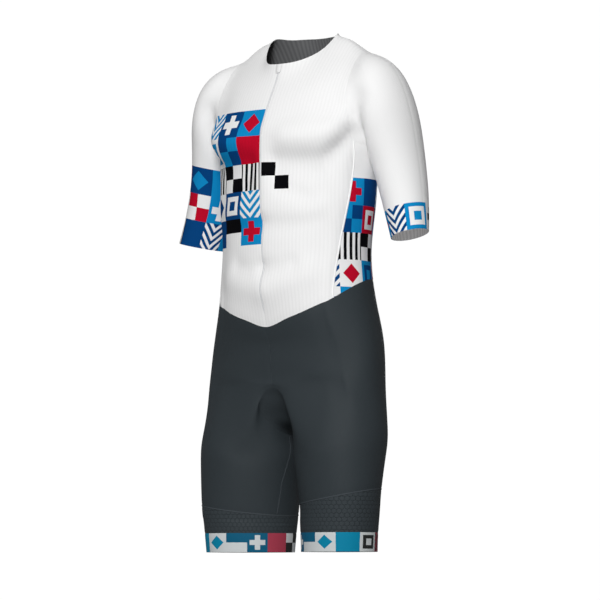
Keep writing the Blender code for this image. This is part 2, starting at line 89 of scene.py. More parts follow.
Panel = namedtuple("Panel", "name azimuth elevation distance size power")
for panel in (
    Panel("key", 27, 25, 5.0, 1.5, 200),
    Panel("fill", 48, -30, 4.5, 2.0, 12),
    Panel("behind", 217, 12, 5.0, 2.5, 120),
):
    light = bpy.data.lights.new(panel.name, "AREA")
    light.shape, light.size, light.energy = "DISK", panel.size, panel.power
    holder = bpy.data.objects.new(panel.name, light)
    holder.visible_camera = False
    bpy.context.scene.collection.objects.link(holder)
    holder.location = CAMERA_AIM + direction(panel.azimuth, panel.elevation) * panel.distance
    holder.rotation_euler = (CAMERA_AIM - holder.location).to_track_quat("-Z", "Y").to_euler()

camera = bpy.data.objects.new("camera", bpy.data.cameras.new("camera"))
bpy.context.scene.collection.objects.link(camera)
camera.data.lens = CAMERA_LENS
camera.data.clip_end = 60
camera.location = CAMERA_AIM + direction(CAMERA_AZIMUTH, CAMERA_ELEVATION) * CAMERA_DISTANCE
camera.rotation_euler = (CAMERA_AIM - camera.location).to_track_quat("-Z", "Y").to_euler()
bpy.context.scene.camera = camera
bpy.context.scene.view_settings.view_transform = "Standard"

# ---- Fronts -------------------------------------------------------------------------------
# Left and right front of white ribbed knit, cut from the neck and shoulder to the waist seam
# and sewn to the zip. The whole suit is cut from one fitted surface, so its tables (mm, points
# of the cloth's outer face) come first and every other panel is taken from it too.
MM = 0.001
# The net's columns run from the centre front round to the centre back, its rows from the neck.
CENTRE_FRONT, SIDE_FRONT, SIDE_BACK, NECK_BACK, CENTRE_BACK = 0, 5, 7, 9, 12
YOKE_ROWS, BODICE_ROWS, SEAT_ROWS, GUSSET_ROWS = 5, 5, 4, 6
WAIST_ROW = YOKE_ROWS + BODICE_ROWS
LAST_ROW = WAIST_ROW + SEAT_ROWS
EASING = 4              # rounds of smoothing inside the yoke
FIT_ROUNDS = 12         # of moving the net until its smooth surface meets the tables' points
FINENESS = 3            # each cell of the net becomes 8 by 8 small faces
CLOTH = 0.9             # thickness of the knit
SEAM_SINK = 0.45        # a sewn edge sinks in by this much
SEAM_CLEAR = 0.02       # half the hair's gap left between two sewn panels
ZIP_EDGE = 1.9          # the fronts stop this far from the centre line, beside the zip
ZIP_END, ZIP_TIP = -496, -508   # they close up over this stretch, at the zip's lower end
ON_CENTRE = 0.01        # a point this near the centre line is on it
CREASE = 50             # faces that meet at more degrees than this have a sharp edge

# Trunk sections: half width, how far back its front, widest and back places lie, and how
# square its front and back corners are (2 is an ellipse).
Section = namedtuple("Section", "z half_width y_front y_wide y_back square_front square_back")
TRUNK = (
    Section(-190, 166, -102, 12, 130, 2.70, 2.20),
    Section(-232, 160, -104, 9, 128, 2.15, 2.05),
    Section(-280, 156, -103, 7, 121, 2.02, 2.10),
    Section(-330, 151, -101, 5, 112, 2.00, 2.20),
    Section(-390, 146, -98, 3, 104, 2.00, 2.25),
    Section(-440, 149, -98, 3, 105, 2.10, 2.25),
    Section(-485, 156, -95, 2, 112, 2.12, 2.22),
    Section(-525, 165, -87, 2, 121, 2.20, 2.18),
    Section(-555, 172, -77, 2, 125, 2.30, 2.08),
    Section(-600, 178, -72, 2, 126, 2.45, 2.00),
    Section(-650, 181, -70, 2, 121, 2.90, 2.02),
    Section(-710, 182, -64, 0, 108, 3.00, 2.05),
)

# Heights of the cross seams; a point below 2 makes the front half run to a point.
Seam = namedtuple("Seam", "z_front z_side z_back point")
ARMPIT = Seam(-190, -208, -192, 2.0)
WAIST = Seam(-532, -451, -427, 0.99)
SEAT = Seam(-652, -648, -652, 2.0)

# Angles of the side panel's two seams from the centre front, and of their lines in the shorts.
SideLine = namedtuple("SideLine", "z front back")
SIDE_LINES = (
    SideLine(-206, 73, 124), SideLine(-260, 72, 124), SideLine(-330, 67.5, 123),
    SideLine(-390, 61.5, 122), SideLine(-450, 54, 122), SideLine(-540, 55, 121),
    SideLine(-648, 60, 120),
)

# Centre front and centre back above the armpit row, then the armhole's front and back halves.
CENTRE_FRONT_LINE = (
    (0, -46, -56), (0, -54, -82), (0, -68, -109),
    (0, -82, -136), (0, -94, -163), (0, -102, -190),
)
CENTRE_BACK_LINE = (
    (0, 78, 2.5), (0, 91, -26), (0, 108, -66),
    (0, 120, -115), (0, 127, -152), (0, 130, -190),
)
ARMHOLE_FRONT = (
    (134, 32, -34), (138, 2, -50), (141, -24, -82),
    (144, -41, -118), (151, -44, -160), (160, -32, -204),
)
ARMHOLE_BACK = (
    (134, 32, -34), (139, 59, -48), (145, 77, -82),
    (149, 85, -124), (147, 87, -164), (142, 82, -204),
)
NECKLINE_FRONT = ((0, -46, -56), (34, -36, -52), (63, -2, -30), (72, 30, 0))
NECKLINE_BACK = ((0, 78, 2.5), (32, 73, 3), (56, 53, 2), (72, 30, 0))
SHOULDER = ((72, 30, 0), (103, 32, -13), (134, 32, -34))

# Sleeve rings from the armhole to the cuff: each ring's top leans out by tilt degrees, and its
# outermost point lies forward of its middle by lead.
Ring = namedtuple("Ring", "x y z tilt half_out half_deep lead")
SLEEVE = (
    Ring(167, 23, -128, 91, 83, 63, 0),
    Ring(187, 20, -144, 76, 75, 63, 0),
    Ring(199, 26, -185, 56, 61, 62, 0),
    Ring(206, 35, -238, 31, 46, 56, 0),
    Ring(218, 37, -304, 16, 42, 48, 4),
    Ring(235, 27, -371, 13, 38, 39, 8.3),
)

# The gusset's centre line and left edge, from the front round under the body to the back.
GUSSET_CENTRE = (
    (0, -73, -637), (0, -65, -666), (0, -43, -692), (0, -6, -709),
    (0, 44, -708), (0, 88, -686), (0, 119, -643),
)
GUSSET_EDGE = (
    (28, -73, -650), (30, -63, -677), (24, -42, -702), (17, -6, -719),
    (20, 44, -719), (34, 86, -698), (40, 117, -656),
)

# Leg rings below the seat: z at the centre, rise towards the outside and towards the back.
LegRing = namedtuple("LegRing", "z rise_out rise_back x y half_wide half_deep turn")
LEG_TOP = (
    LegRing(-733, 20, 0, 98, 5, 91, 83, -30),
    LegRing(-778, 14, 0, 100, 2, 92, 79, -37),
)
LEG_LEFT_CUT = LegRing(-834, 12, 6, 101.5, 0, 88.5, 71.5, -37)
LEG_RIGHT_CUT = LegRing(-856, 11, 0, 101.5, 0, 87.5, 69.5, -37)
LEG_BAND_TOP = LegRing(-898, 0, 0, 99.5, -1, 83, 68, -37)
LEG_HEM = LegRing(-932, 0, 0, 99.5, -1, 80, 67, -37)
LEG_FIRST_ANGLE = -20   # of the column that comes down from the gusset's front corner
LEG_OUTER_STEP = 22.2   # degrees between the columns that come down from the trunk
LEG_INNER_STEP = 23     # degrees between the columns that come down from the gusset


def read_smooth(knots, values, where):
    """Cubic curve through (knots, values), read at where; knots fall or rise steadily."""
    order = np.argsort(knots)
    xs = np.asarray(knots, float)[order]
    ys = np.asarray(values, float)[order]
    slopes = np.gradient(ys, xs)
    i = int(np.clip(np.searchsorted(xs, where) - 1, 0, len(xs) - 2))
    span = xs[i + 1] - xs[i]
    t = (where - xs[i]) / span
    return ((2 * t**3 - 3 * t**2 + 1) * ys[i] + (t**3 - 2 * t**2 + t) * span * slopes[i]
            + (3 * t**2 - 2 * t**3) * ys[i + 1] + (t**3 - t**2) * span * slopes[i + 1])


def read_table(rows, z, columns):
    """Smooth values of some columns of a table at a height."""
    heights = [row.z for row in rows]
    return [read_smooth(heights, [row[k] for row in rows], z) for k in columns]


def trunk_point(degrees, z):
    """A point of the trunk's outer face at an angle from the centre front."""
    width, front, wide, back, square_front, square_back = read_table(TRUNK, z, range(1, 7))
    sine, cosine = math.sin(math.radians(degrees)), math.cos(math.radians(degrees))
    depth = wide - front if cosine > 0 else back - wide
    power = 2 / (square_front if cosine > 0 else square_back)
    x = width * abs(sine)**power
    y = wide - math.copysign(depth * abs(cosine)**power, cosine)
    return np.array((x, y, z))


def seam_angle(seam, column):
    """Angle of a net column: evenly spread over the front, the side panel and the back."""
    front, back = read_table(SIDE_LINES, seam.z_side, (1, 2))
    return float(np.interp(column, (CENTRE_FRONT, SIDE_FRONT, SIDE_BACK, CENTRE_BACK),
                           (0, front, back, 180)))


def seam_height(seam, degrees):
    """Height of a cross seam: its front half can run to a point at the centre front."""
    if degrees < 90:
        return seam.z_front + (seam.z_side - seam.z_front) * (degrees / 90)**seam.point
    blend = 0.5 - 0.5 * math.cos(math.radians(2 * (degrees - 90)))
    return seam.z_side + (seam.z_back - seam.z_side) * blend


def on_seam(seam, column):
    """Where a net column crosses a cross seam, or a row between two of them."""
    angle = seam_angle(seam, column)
    return trunk_point(angle, seam_height(seam, angle))


def between(upper, lower, share):
    """The table row that lies at a share of the way from one row to another."""
    return type(upper)(*(a + (b - a) * share for a, b in zip(upper, lower)))


def patch(top, bottom, left, right):
    """Grid of points between four border curves (top and bottom run left to right)."""
    top, bottom, left, right = (np.array(border) for border in (top, bottom, left, right))
    u = np.linspace(0, 1, len(top))[:, None]
    v = np.linspace(0, 1, len(left))[:, None, None]
    ruled = (1 - u) * left[:, None] + u * right[:, None] + (1 - v) * top + v * bottom
    upper = (1 - u) * top[0] + u * top[-1]
    lower = (1 - u) * bottom[0] + u * bottom[-1]
    grid = ruled - (1 - v) * upper - v * lower
    for _ in range(EASING):
        eased = (grid[:-2, 1:-1] + grid[2:, 1:-1] + grid[1:-1, :-2] + grid[1:-1, 2:]) / 4
        grid[1:-1, 1:-1] = (grid[1:-1, 1:-1] + eased) / 2
    return grid


def ring_point(ring, degrees):
    """A point of a sleeve ring, counted from straight out and up towards the front."""
    tilt, angle = math.radians(ring.tilt), math.radians(degrees)
    out = ring.half_out * math.cos(angle)
    front = ring.half_deep * math.sin(angle) + ring.lead * math.cos(angle)
    return np.array((ring.x + out * math.cos(tilt), ring.y - front, ring.z + out * math.sin(tilt)))


def leg_point(ring, degrees):
    """A point of a leg ring, counted from the front towards the outside."""
    angle, turn = math.radians(degrees), math.radians(ring.turn)
    out, back = math.sin(angle), -math.cos(angle)
    wide = ring.half_wide * (out * math.cos(turn) + back * math.sin(turn))
    deep = ring.half_deep * (back * math.cos(turn) - out * math.sin(turn))
    x = ring.x + wide * math.cos(turn) - deep * math.sin(turn)
    y = ring.y + wide * math.sin(turn) + deep * math.cos(turn)
    return np.array((x, y, ring.z + ring.rise_out * out + ring.rise_back * back))


class Net:
    """Named points and the quads between them, each quad marked with its piece."""

    def __init__(self):
        self.points, self.number, self.quads, self.pieces = [], {}, [], []

    def put(self, key, point, side):
        if key not in self.number:
            self.number[key] = len(self.points)
            self.points.append(np.array(point, float) * (side, 1, 1))

    def sew(self, grid, side, piece_of):
        """Quads over a grid of keys; piece_of(row, column) names each quad's piece."""
        for r in range(len(grid) - 1):
            for c in range(len(grid[0]) - 1):
                corners = [grid[r][c], grid[r + 1][c], grid[r + 1][c + 1], grid[r][c + 1]]
                if side < 0:
                    corners.reverse()
                self.quads.append([self.number[key] for key in corners])
                self.pieces.append(piece_of(r, c))


def trunk_key(row, column, side):
    """Columns on the centre lines belong to both halves; the shoulder to front and back."""
    if row == 0 and SIDE_BACK <= column <= NECK_BACK:
        column = CENTRE_BACK - column
    middle = column in (CENTRE_FRONT, CENTRE_BACK)
    return ("trunk", row, column, 0 if middle else side)


def trunk_keys(rows, columns, side):
    return [[trunk_key(r, c, side) for c in columns] for r in rows]


def side_name(name, side):
    return name + ("_left" if side > 0 else "_right")


def add_yoke(net, side):
    """Front and back above the armpits, between neck, shoulder and armhole."""
    armpit = [on_seam(ARMPIT, c) for c in range(CENTRE_BACK + 1)]
    armpit[SIDE_FRONT], armpit[SIDE_BACK] = ARMHOLE_FRONT[-1], ARMHOLE_BACK[-1]
    front = patch(NECKLINE_FRONT + SHOULDER[1:], armpit[:SIDE_FRONT + 1],
                  CENTRE_FRONT_LINE, ARMHOLE_FRONT)
    back = patch(NECKLINE_BACK + SHOULDER[1:], armpit[:SIDE_BACK - 1:-1],
                 CENTRE_BACK_LINE, ARMHOLE_BACK)
    for r in range(YOKE_ROWS + 1):
        for c in range(SIDE_FRONT + 1):
            net.put(trunk_key(r, c, side), front[r, c], side)
            net.put(trunk_key(r, CENTRE_BACK - c, side), back[r, c], side)
    net.put(trunk_key(YOKE_ROWS, SIDE_FRONT + 1, side), armpit[SIDE_FRONT + 1], side)
    for name, columns in ((side_name("front", side), range(SIDE_FRONT + 1)),
                          ("back", range(SIDE_BACK, CENTRE_BACK + 1))):
        net.sew(trunk_keys(range(YOKE_ROWS + 1), columns, side), side, lambda r, c: name)


def add_trunk(net, side):
    """Rings from the armpits over the waist seam down to the gusset's top."""
    for r in range(YOKE_ROWS + 1, LAST_ROW + 1):
        step = r - YOKE_ROWS
        if step <= BODICE_ROWS:
            seam = between(ARMPIT, WAIST, step / BODICE_ROWS)
        else:
            seam = between(WAIST, SEAT, (step - BODICE_ROWS) / SEAT_ROWS)
        for c in range(CENTRE_BACK + 1):
            net.put(trunk_key(r, c, side), on_seam(seam, c), side)
    for c, places in ((0, GUSSET_CENTRE), (1, GUSSET_EDGE)):
        for column, place in ((c, places[0]), (CENTRE_BACK - c, places[-1])):
            key = trunk_key(LAST_ROW, column, side)
            net.points[net.number[key]] = np.array(place, float) * (side, 1, 1)
    bodice = ([side_name("front", side)] * SIDE_FRONT
              + [side_name("side", side)] * (SIDE_BACK - SIDE_FRONT)
              + ["back"] * (CENTRE_BACK - SIDE_BACK))
    shorts = [side_name("leg", side)] * CENTRE_BACK
    for first, end, names in ((YOKE_ROWS, WAIST_ROW, bodice), (WAIST_ROW, LAST_ROW, shorts)):
        keys = trunk_keys(range(first, end + 1), range(CENTRE_BACK + 1), side)
        net.sew(keys, side, lambda r, c: names[c])


def gusset_keys(side):
    """Keys of the gusset's centre line and of its edge on one side, from front to back."""
    return [[trunk_key(LAST_ROW, column, side)]
            + [("gusset", k, mark) for k in range(1, GUSSET_ROWS)]
            + [trunk_key(LAST_ROW, CENTRE_BACK - column, side)]
            for column, mark in ((0, 0), (1, side))]


def add_gusset(net, side):
    """Half of the gusset that joins the two legs under the body."""
    centre, edge = gusset_keys(side)
    for k in range(GUSSET_ROWS + 1):
        net.put(centre[k], GUSSET_CENTRE[k], side)
        net.put(edge[k], GUSSET_EDGE[k], side)
    net.sew([[c, e] for c, e in zip(centre, edge)], side, lambda r, c: "gusset")


def add_rings(net, side, name, top, rings, point_of, angles):
    """Rings of points below a closed row of keys; returns the whole grid of keys."""
    grid = [top + top[:1]]
    for r, ring in enumerate(rings):
        keys = [(name, r, i, side) for i in range(len(angles))]
        for key, angle in zip(keys, angles):
            net.put(key, point_of(ring, angle), side)
        grid.append(keys + keys[:1])
    return grid


def add_leg(net, side):
    """One leg from the gusset row to the hem: leg piece, thigh panel and band."""
    cut = LEG_LEFT_CUT if side > 0 else LEG_RIGHT_CUT
    rings = LEG_TOP + (cut, between(cut, LEG_BAND_TOP, 0.5), LEG_BAND_TOP, LEG_HEM)
    top = [trunk_key(LAST_ROW, c, side) for c in range(1, CENTRE_BACK)]
    top += gusset_keys(side)[1][-2:0:-1]
    outer = CENTRE_BACK - 2
    angles = [LEG_FIRST_ANGLE + LEG_OUTER_STEP * i for i in range(outer + 1)]
    angles += [angles[outer] + LEG_INNER_STEP * k for k in range(1, GUSSET_ROWS)]
    grid = add_rings(net, side, "leg", top, rings, leg_point, angles)
    names = ["leg"] * (len(LEG_TOP) + 1) + ["thigh_panel"] * 2 + ["leg_band"]
    net.sew(grid, side, lambda r, c: side_name(names[r], side))


def add_sleeve(net, side):
    """One sleeve in a front and a back half, seamed over the arm and under it."""
    down = [trunk_key(r, SIDE_FRONT, side) for r in range(YOKE_ROWS + 1)]
    under = [trunk_key(YOKE_ROWS, SIDE_FRONT + 1, side)]
    up = [trunk_key(r, SIDE_BACK, side) for r in range(YOKE_ROWS, 0, -1)]
    armhole = down + under + up
    angles = [360 * i / len(armhole) for i in range(len(armhole))]
    grid = add_rings(net, side, "sleeve", armhole, SLEEVE, ring_point, angles)
    half = len(armhole) // 2
    # The armhole runs clockwise seen from outside, so the rows are sewn the other way round.
    net.sew(grid, -side, lambda r, c: side_name("sleeve_front" if c < half else "sleeve_back", side))


def smooth_surface(points, net, level):
    """The net's limit surface: vertices, unit normals, quads and each quad's piece number."""
    mesh = bpy.data.meshes.new("net")
    mesh.from_pydata([tuple(p) for p in points], [], net.quads)
    for face, piece in zip(mesh.polygons, net.pieces):
        face.material_index = piece_names.index(piece)
    holder = bpy.data.objects.new("net", mesh)
    bpy.context.scene.collection.objects.link(holder)
    smooth = holder.modifiers.new("smooth", "SUBSURF")
    smooth.levels = smooth.render_levels = level
    result = holder.evaluated_get(bpy.context.evaluated_depsgraph_get()).to_mesh()
    surface = (np.array([v.co[:] for v in result.vertices]),
               np.array([v.normal[:] for v in result.vertices]),
               np.array([face.vertices[:] for face in result.polygons]),
               np.array([face.material_index for face in result.polygons]))
    bpy.data.objects.remove(holder)
    bpy.data.meshes.remove(mesh)
    return surface


def fitted_surface(net, level):
    """Moves the net's points until its smooth surface passes through the tables' points."""
    wanted = np.array(net.points) * MM
    points = wanted.copy()
    for _ in range(FIT_ROUNDS):
        points += wanted - smooth_surface(points, net, 1)[0][:len(wanted)]
    return smooth_surface(points, net, level)


cut = Net()
for side in (1, -1):
    add_yoke(cut, side)
    add_trunk(cut, side)
    add_gusset(cut, side)
    add_leg(cut, side)
    add_sleeve(cut, side)
piece_names = sorted(set(cut.pieces))
skin, lean, cells, owners = fitted_surface(cut, FINENESS)


def cells_of(name):
    return cells[owners == piece_names.index(name)]



# Soft folds and swells that the cloth keeps from the wearer's chest, belly and crotch, each
# along a line of points: how far it sinks in (mm, swells are below 0), and how far it reaches
# above the line and to its sides, and below the line. Folds sink square to the cloth; the
# hollows between chest, arm and side sink back and inwards.
Fold = namedtuple("Fold", "depth reach reach_below line")
FOLDS = (
    Fold(11, 17, 46, ((30, -101, -236), (80, -90, -240), (110, -71, -238), (128, -65, -230),
                      (142, -55, -216), (152, -43, -198))),
    Fold(-5, 20, 15, ((50, -100, -196), (85, -88, -198), (112, -74, -196), (128, -66, -186),
                      (140, -55, -170))),
    Fold(4.0, 13, 20, ((40, -101, -282), (62, -97, -290), (96, -86, -302), (116, -76, -294))),
    Fold(3.6, 13, 20, ((0, -102, -346), (40, -99, -352), (84, -88, -350), (112, -76, -344))),
    Fold(3.6, 13, 20, ((0, -97, -424), (36, -96, -426), (60, -91, -420))),
    Fold(-4, 28, 24, ((10, -97, -466), (50, -93, -454), (84, -82, -442))),
    Fold(5, 24, 30, ((0, -72, -662), (0, -60, -690))),
)
HOLLOWS = (
    Fold(8, 20, 28, ((176, -38, -130), (168, -27, -160), (164, -12, -182))),
    Fold(8, 36, 50, ((167, -18, -196), (162, -22, -235))),
)
HOLLOW_WAY = (-0.6, 0.8, 0)     # on the left; the right is its mirror image


def from_line(points, line):
    """Offset of each point from the nearest point of a line."""
    nearest = np.full(points.shape, np.inf)
    for a, b in zip(line, line[1:]):
        a, b = np.array(a) * MM, np.array(b) * MM
        share = np.clip((points - a) @ (b - a) / ((b - a) @ (b - a)), 0, 1)[:, None]
        offset = points - a - share * (b - a)
        closer = np.linalg.norm(offset, axis=1) < np.linalg.norm(nearest, axis=1)
        nearest[closer] = offset[closer]
    return nearest


for fold in FOLDS + HOLLOWS:
    for side in (1, -1):
        offset = from_line(skin, [(x * side, y, z) for x, y, z in fold.line]) / MM
        upright = np.where(offset[:, 2] > 0, fold.reach, fold.reach_below)
        away = (np.linalg.norm(offset[:, :2], axis=1) / fold.reach)**2 + (offset[:, 2] / upright)**2
        inwards = HOLLOW_WAY * np.array((side, 1, 1)) if fold in HOLLOWS else -lean
        skin = skin + inwards * (fold.depth * np.exp(-away) * MM)[:, None]


def edges_of(faces):
    """Edges that only one face has, as (start, end, face, corner)."""
    seen = {(face[k], face[(k + 1) % 4]): (f, k) for f, face in enumerate(faces) for k in range(4)}
    return [(a, b, f, k) for (a, b), (f, k) in seen.items() if (b, a) not in seen]


open_edges = {(a, b) for a, b, _, _ in edges_of(cells.tolist())}


def unrolled(angle_of, corners):
    """Angles of a face's corners that don't jump where the round closes."""
    middle = angle_of(corners.mean(axis=1))[:, None]
    step = angle_of(corners.reshape(-1, 3)).reshape(corners.shape[:2]) - middle
    return middle + (step + math.pi) % (2 * math.pi) - math.pi


def lengths_along(points):
    """Length of the line through points, up to each of them."""
    steps = [np.linalg.norm(b - a) for a, b in zip(points, points[1:])]
    return np.concatenate([[0], np.cumsum(steps)])


# The cloth's width is taken round the chest for the ribbed pieces, and round the belly for the
# side panels and the gusset.
CHEST_Z, BELLY_Z = -200, -330
chest = [trunk_point(a, CHEST_Z) * MM for a in range(91)]
chest_lengths = lengths_along(chest)


def upright_grain(corners):
    """Across a front or the back from its centre line, and up: the ribs stay upright."""
    x = corners[:, :, 0]
    across = np.sign(x) * np.interp(abs(x), [point[0] for point in chest], chest_lengths)
    return across, corners[:, :, 2]


ROUND_CENTRE = 0.010            # depth of the upright line that the body's angles turn about
belly = [trunk_point(a, BELLY_Z) * MM for a in range(181)]
belly_angles = [math.atan2(point[0], ROUND_CENTRE - point[1]) for point in belly]
belly_lengths = lengths_along(belly)


def body_grain(corners):
    """Across the body from the centre front round to the back, and up."""
    angle = unrolled(lambda p: np.arctan2(p[:, 0], ROUND_CENTRE - p[:, 1]), corners)
    across = np.sign(angle) * np.interp(abs(angle), belly_angles, belly_lengths)
    return across, corners[:, :, 2]


def make_piece(name, verts, faces, materials, marks=None, grain=None):
    """An object of the suit; its grain is kept on the mesh for the cloth's weave and print."""
    mesh = bpy.data.meshes.new(name)
    mesh.from_pydata([tuple(v) for v in verts], [], faces)
    mesh.shade_smooth()
    mesh.set_sharp_from_angle(angle=math.radians(CREASE))
    for material in materials:
        mesh.materials.append(material)
    if marks is not None:
        mesh.polygons.foreach_set("material_index", marks)
    if grain is not None:
        store = mesh.attributes.new("grain", "FLOAT_VECTOR", "CORNER")
        store.data.foreach_set("vector", np.array(grain, dtype=np.float32).ravel())
    made = bpy.data.objects.new(name, mesh)
    bpy.context.scene.collection.objects.link(made)
    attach(made, "root")
    return made


def panel_of_cloth(name, materials, grain_of, wall=CLOTH, edge_rule=None):
    """One cut piece as a thin shell: outer face, plain inner face and the rim between."""
    own = cells_of(name)
    used, places = np.unique(own, return_inverse=True)
    faces = places.reshape(own.shape)
    border = edges_of(faces.tolist())
    outer, normals = skin[used].copy(), lean[used]
    centres = {}
    for a, b, f, _ in border:
        free = (int(used[a]), int(used[b])) in open_edges
        for v in (a, b):
            centres.setdefault(v, []).append((free, outer[faces[f]].mean(axis=0)))
    for v, near in centres.items():
        into = sum(centre for _, centre in near) / len(near) - outer[v]
        into -= normals[v] * (into @ normals[v])
        if not all(free for free, _ in near):
            outer[v] += into / np.linalg.norm(into) * SEAM_CLEAR * MM
            outer[v] -= normals[v] * SEAM_SINK * MM
    if edge_rule:
        edge_rule(outer, skin[used])
    count = len(used)
    inner = outer - normals * wall * MM
    corners = skin[used][faces]
    across, along = grain_of(corners)
    grain = np.stack([across, along, np.zeros_like(along)], axis=2)
    rim = [(b, a, a + count, b + count) for a, b, _, _ in border]
    rim_grain = [grain[f, (k + step) % 4] for _, _, f, k in border for step in (1, 0, 0, 1)]
    solid = faces.tolist() + (faces[:, ::-1] + count).tolist() + rim
    marks = [0] * len(faces) + [1] * len(faces) + [0] * len(rim)
    grains = np.concatenate([grain.reshape(-1, 3), grain[:, ::-1].reshape(-1, 3), rim_grain])
    made = make_piece(name + "_cloth", np.concatenate([outer, inner]), solid, materials, marks,
                      grains)
    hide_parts(name)
    return made


class Signal:
    """One output of a material's node; arithmetic on it adds Math nodes."""

    def __init__(self, tree, socket):
        self.tree, self.socket = tree, socket

    def node(self, kind, settings, inputs, output=0):
        """Any node: its settings first, then the values or signals of its sockets."""
        made = self.tree.nodes.new(kind)
        for name, value in settings.items():
            if name == "stops":
                ramp = made.color_ramp
                ramp.interpolation = "CONSTANT"
                while len(ramp.elements) < len(value):
                    ramp.elements.new(1)
                for element, (place, colour) in zip(ramp.elements, value):
                    element.position, element.color = place, colour
            else:
                setattr(made, name, value)
        for key, value in inputs.items():
            if isinstance(value, Signal):
                self.tree.links.new(value.socket, made.inputs[key])
            else:
                made.inputs[key].default_value = value
        return Signal(self.tree, made.outputs[output])

    def math(self, operation, *others):
        return self.node("ShaderNodeMath", {"operation": operation},
                         dict(enumerate((self, *others))))

    def __add__(self, other):
        return self.math("ADD", other)

    def __sub__(self, other):
        return self.math("SUBTRACT", other)

    def __rsub__(self, other):
        return (self * -1) + other

    def __mul__(self, other):
        return self.math("MULTIPLY", other)

    __radd__, __rmul__ = __add__, __mul__

    def __truediv__(self, other):
        return self.math("DIVIDE", other)

    def __abs__(self):
        return self.math("ABSOLUTE")

    def __gt__(self, limit):
        return self.math("GREATER_THAN", limit)

    def __lt__(self, limit):
        return self.math("LESS_THAN", limit)

    def floor(self):
        return self.math("FLOOR")

    def fraction(self):
        return self.math("FRACT")

    def wave(self):
        """Runs smoothly from 0 to 1 and back once for each whole number passed."""
        return 0.5 - (self * (2 * math.pi)).math("COSINE") * 0.5

    def pick(self, first, second):
        """Colour: first where this mask is 0, second where it is 1."""
        return self.node("ShaderNodeMix", {"data_type": "RGBA"}, {0: self, 6: first, 7: second}, 2)


def new_cloth(name, roughness, specular):
    """A fabric's material: its shader, and its grain across and along as signals in metres."""
    made = plain_material(name, (1, 1, 1), roughness, specular)
    start = Signal(made.node_tree, None)
    grain = start.node("ShaderNodeAttribute", {"attribute_name": "grain"}, {}, 1)
    across = grain.node("ShaderNodeSeparateXYZ", {}, {0: grain}, 0)
    along = Signal(made.node_tree, across.socket.node.outputs[1])
    return made, made.node_tree.nodes["Principled BSDF"], across, along


def finish_cloth(shader, colour, height, relief):
    """Feeds a colour, and a height as a bump of so much relief (m), to a fabric's shader."""
    bump = height.node("ShaderNodeBump", {}, {"Height": height, "Distance": relief})
    height.tree.links.new(colour.socket, shader.inputs["Base Color"])
    height.tree.links.new(bump.socket, shader.inputs["Normal"])


WHITE = (0.86, 0.86, 0.86, 1)
# Painted shade: the grooves between the ribs are darker in colour as well as lower in relief.
RIB_GROOVE_PAINTED_SHADE = (0.96, 0.96, 0.96, 1)
RIB_PITCH, RIB_RELIEF = 0.0067, 0.00016
RIB_ROUNDNESS = 0.6     # below 1 the ribs are broad and the grooves between them narrow
KNIT_PITCH = 0.0011
KNIT_SHARE = 0.3        # height of the stitches against the ribs

# Printed tiles: plain geometric shapes, a figure colour on a ground colour. A ramp's grey
# carries the figure of each tile: its number in the list times the step. A block of tiles has
# the height of its top edge and the size of a tile (m), the column it starts in, and its rows.
INKS = {
    "white": WHITE, "sky": (0.004, 0.245, 0.55, 1), "navy": (0.001, 0.053, 0.20, 1),
    "red": (0.50, 0.003, 0.022, 1), "black": (0.002, 0.002, 0.003, 1),
}
FIGURES = ("plain", "diamond", "frame", "plus", "chevron", "checks", "bars", "half")
FIGURE_STEP = 0.1
Tile = namedtuple("Tile", "figure ink ground")
Block = namedtuple("Block", "top size first rows")


def tiles(*rows):
    """Rows of tiles, each written as its figure and two inks, or as its one ink if plain."""
    return [[Tile(*words) if len(words) == 3 else Tile("plain", *(words * 2))
             for words in (tile.split() for tile in row.split(","))] for row in rows]


def figures(a, b):
    """Masks of the tile figures; a and b run from 0 to 1 over a tile."""
    x, y = abs(a - 0.5), abs(b - 0.5)
    widest = x.math("MAXIMUM", y)
    narrowest = x.math("MINIMUM", y)
    rows = (b + x) * 3
    return {
        "diamond": x + y < 0.36,
        "frame": (widest > 0.17) * (widest < 0.35),
        "plus": (narrowest < 0.13) * (widest < 0.38),
        "chevron": rows.fraction() < 0.5,
        "checks": (a - 0.5) * (b - 0.5) > 0,
        "bars": (a * 4 + 0.25).fraction() < 0.5,
        "half": b < 0.5,
    }


def printed(across, along, block, inks=INKS, wrap=False):
    """Colour and mask of a block of tiles: once, or wrapped round and round."""
    columns, count = len(block.rows[0]), len(block.rows) * len(block.rows[0])
    flat = [tile for row in block.rows for tile in row]
    u = across / block.size[0] - block.first
    v = (block.top - along) / block.size[1]
    inside = (v > 0) * (v < len(block.rows))
    if wrap:
        u = (u / columns).fraction() * columns
    else:
        inside = inside * (u > 0) * (u < columns)
    place = (u.floor() + v.floor() * columns + 0.5) / count

    def ramp(choose):
        stops = [(k / count, choose(tile)) for k, tile in enumerate(flat)]
        return place.node("ShaderNodeValToRGB", {"stops": stops}, {0: place})

    ink, ground = ramp(lambda tile: inks[tile.ink]), ramp(lambda tile: inks[tile.ground])
    kind = ramp(lambda tile: (FIGURES.index(tile.figure) * FIGURE_STEP,) * 3 + (1,))
    mask = 0
    for name, figure in figures(u.fraction(), v.fraction()).items():
        chosen = kind.math("COMPARE", FIGURES.index(name) * FIGURE_STEP, FIGURE_STEP * 0.3)
        mask = figure * chosen + mask
    return mask.pick(ground, ink), inside


# Painted shade: the inner face's rib grooves are darker in colour.
INSIDE_GROOVE_PAINTED_SHADE, INSIDE_RELIEF = 0.75, 0.0004


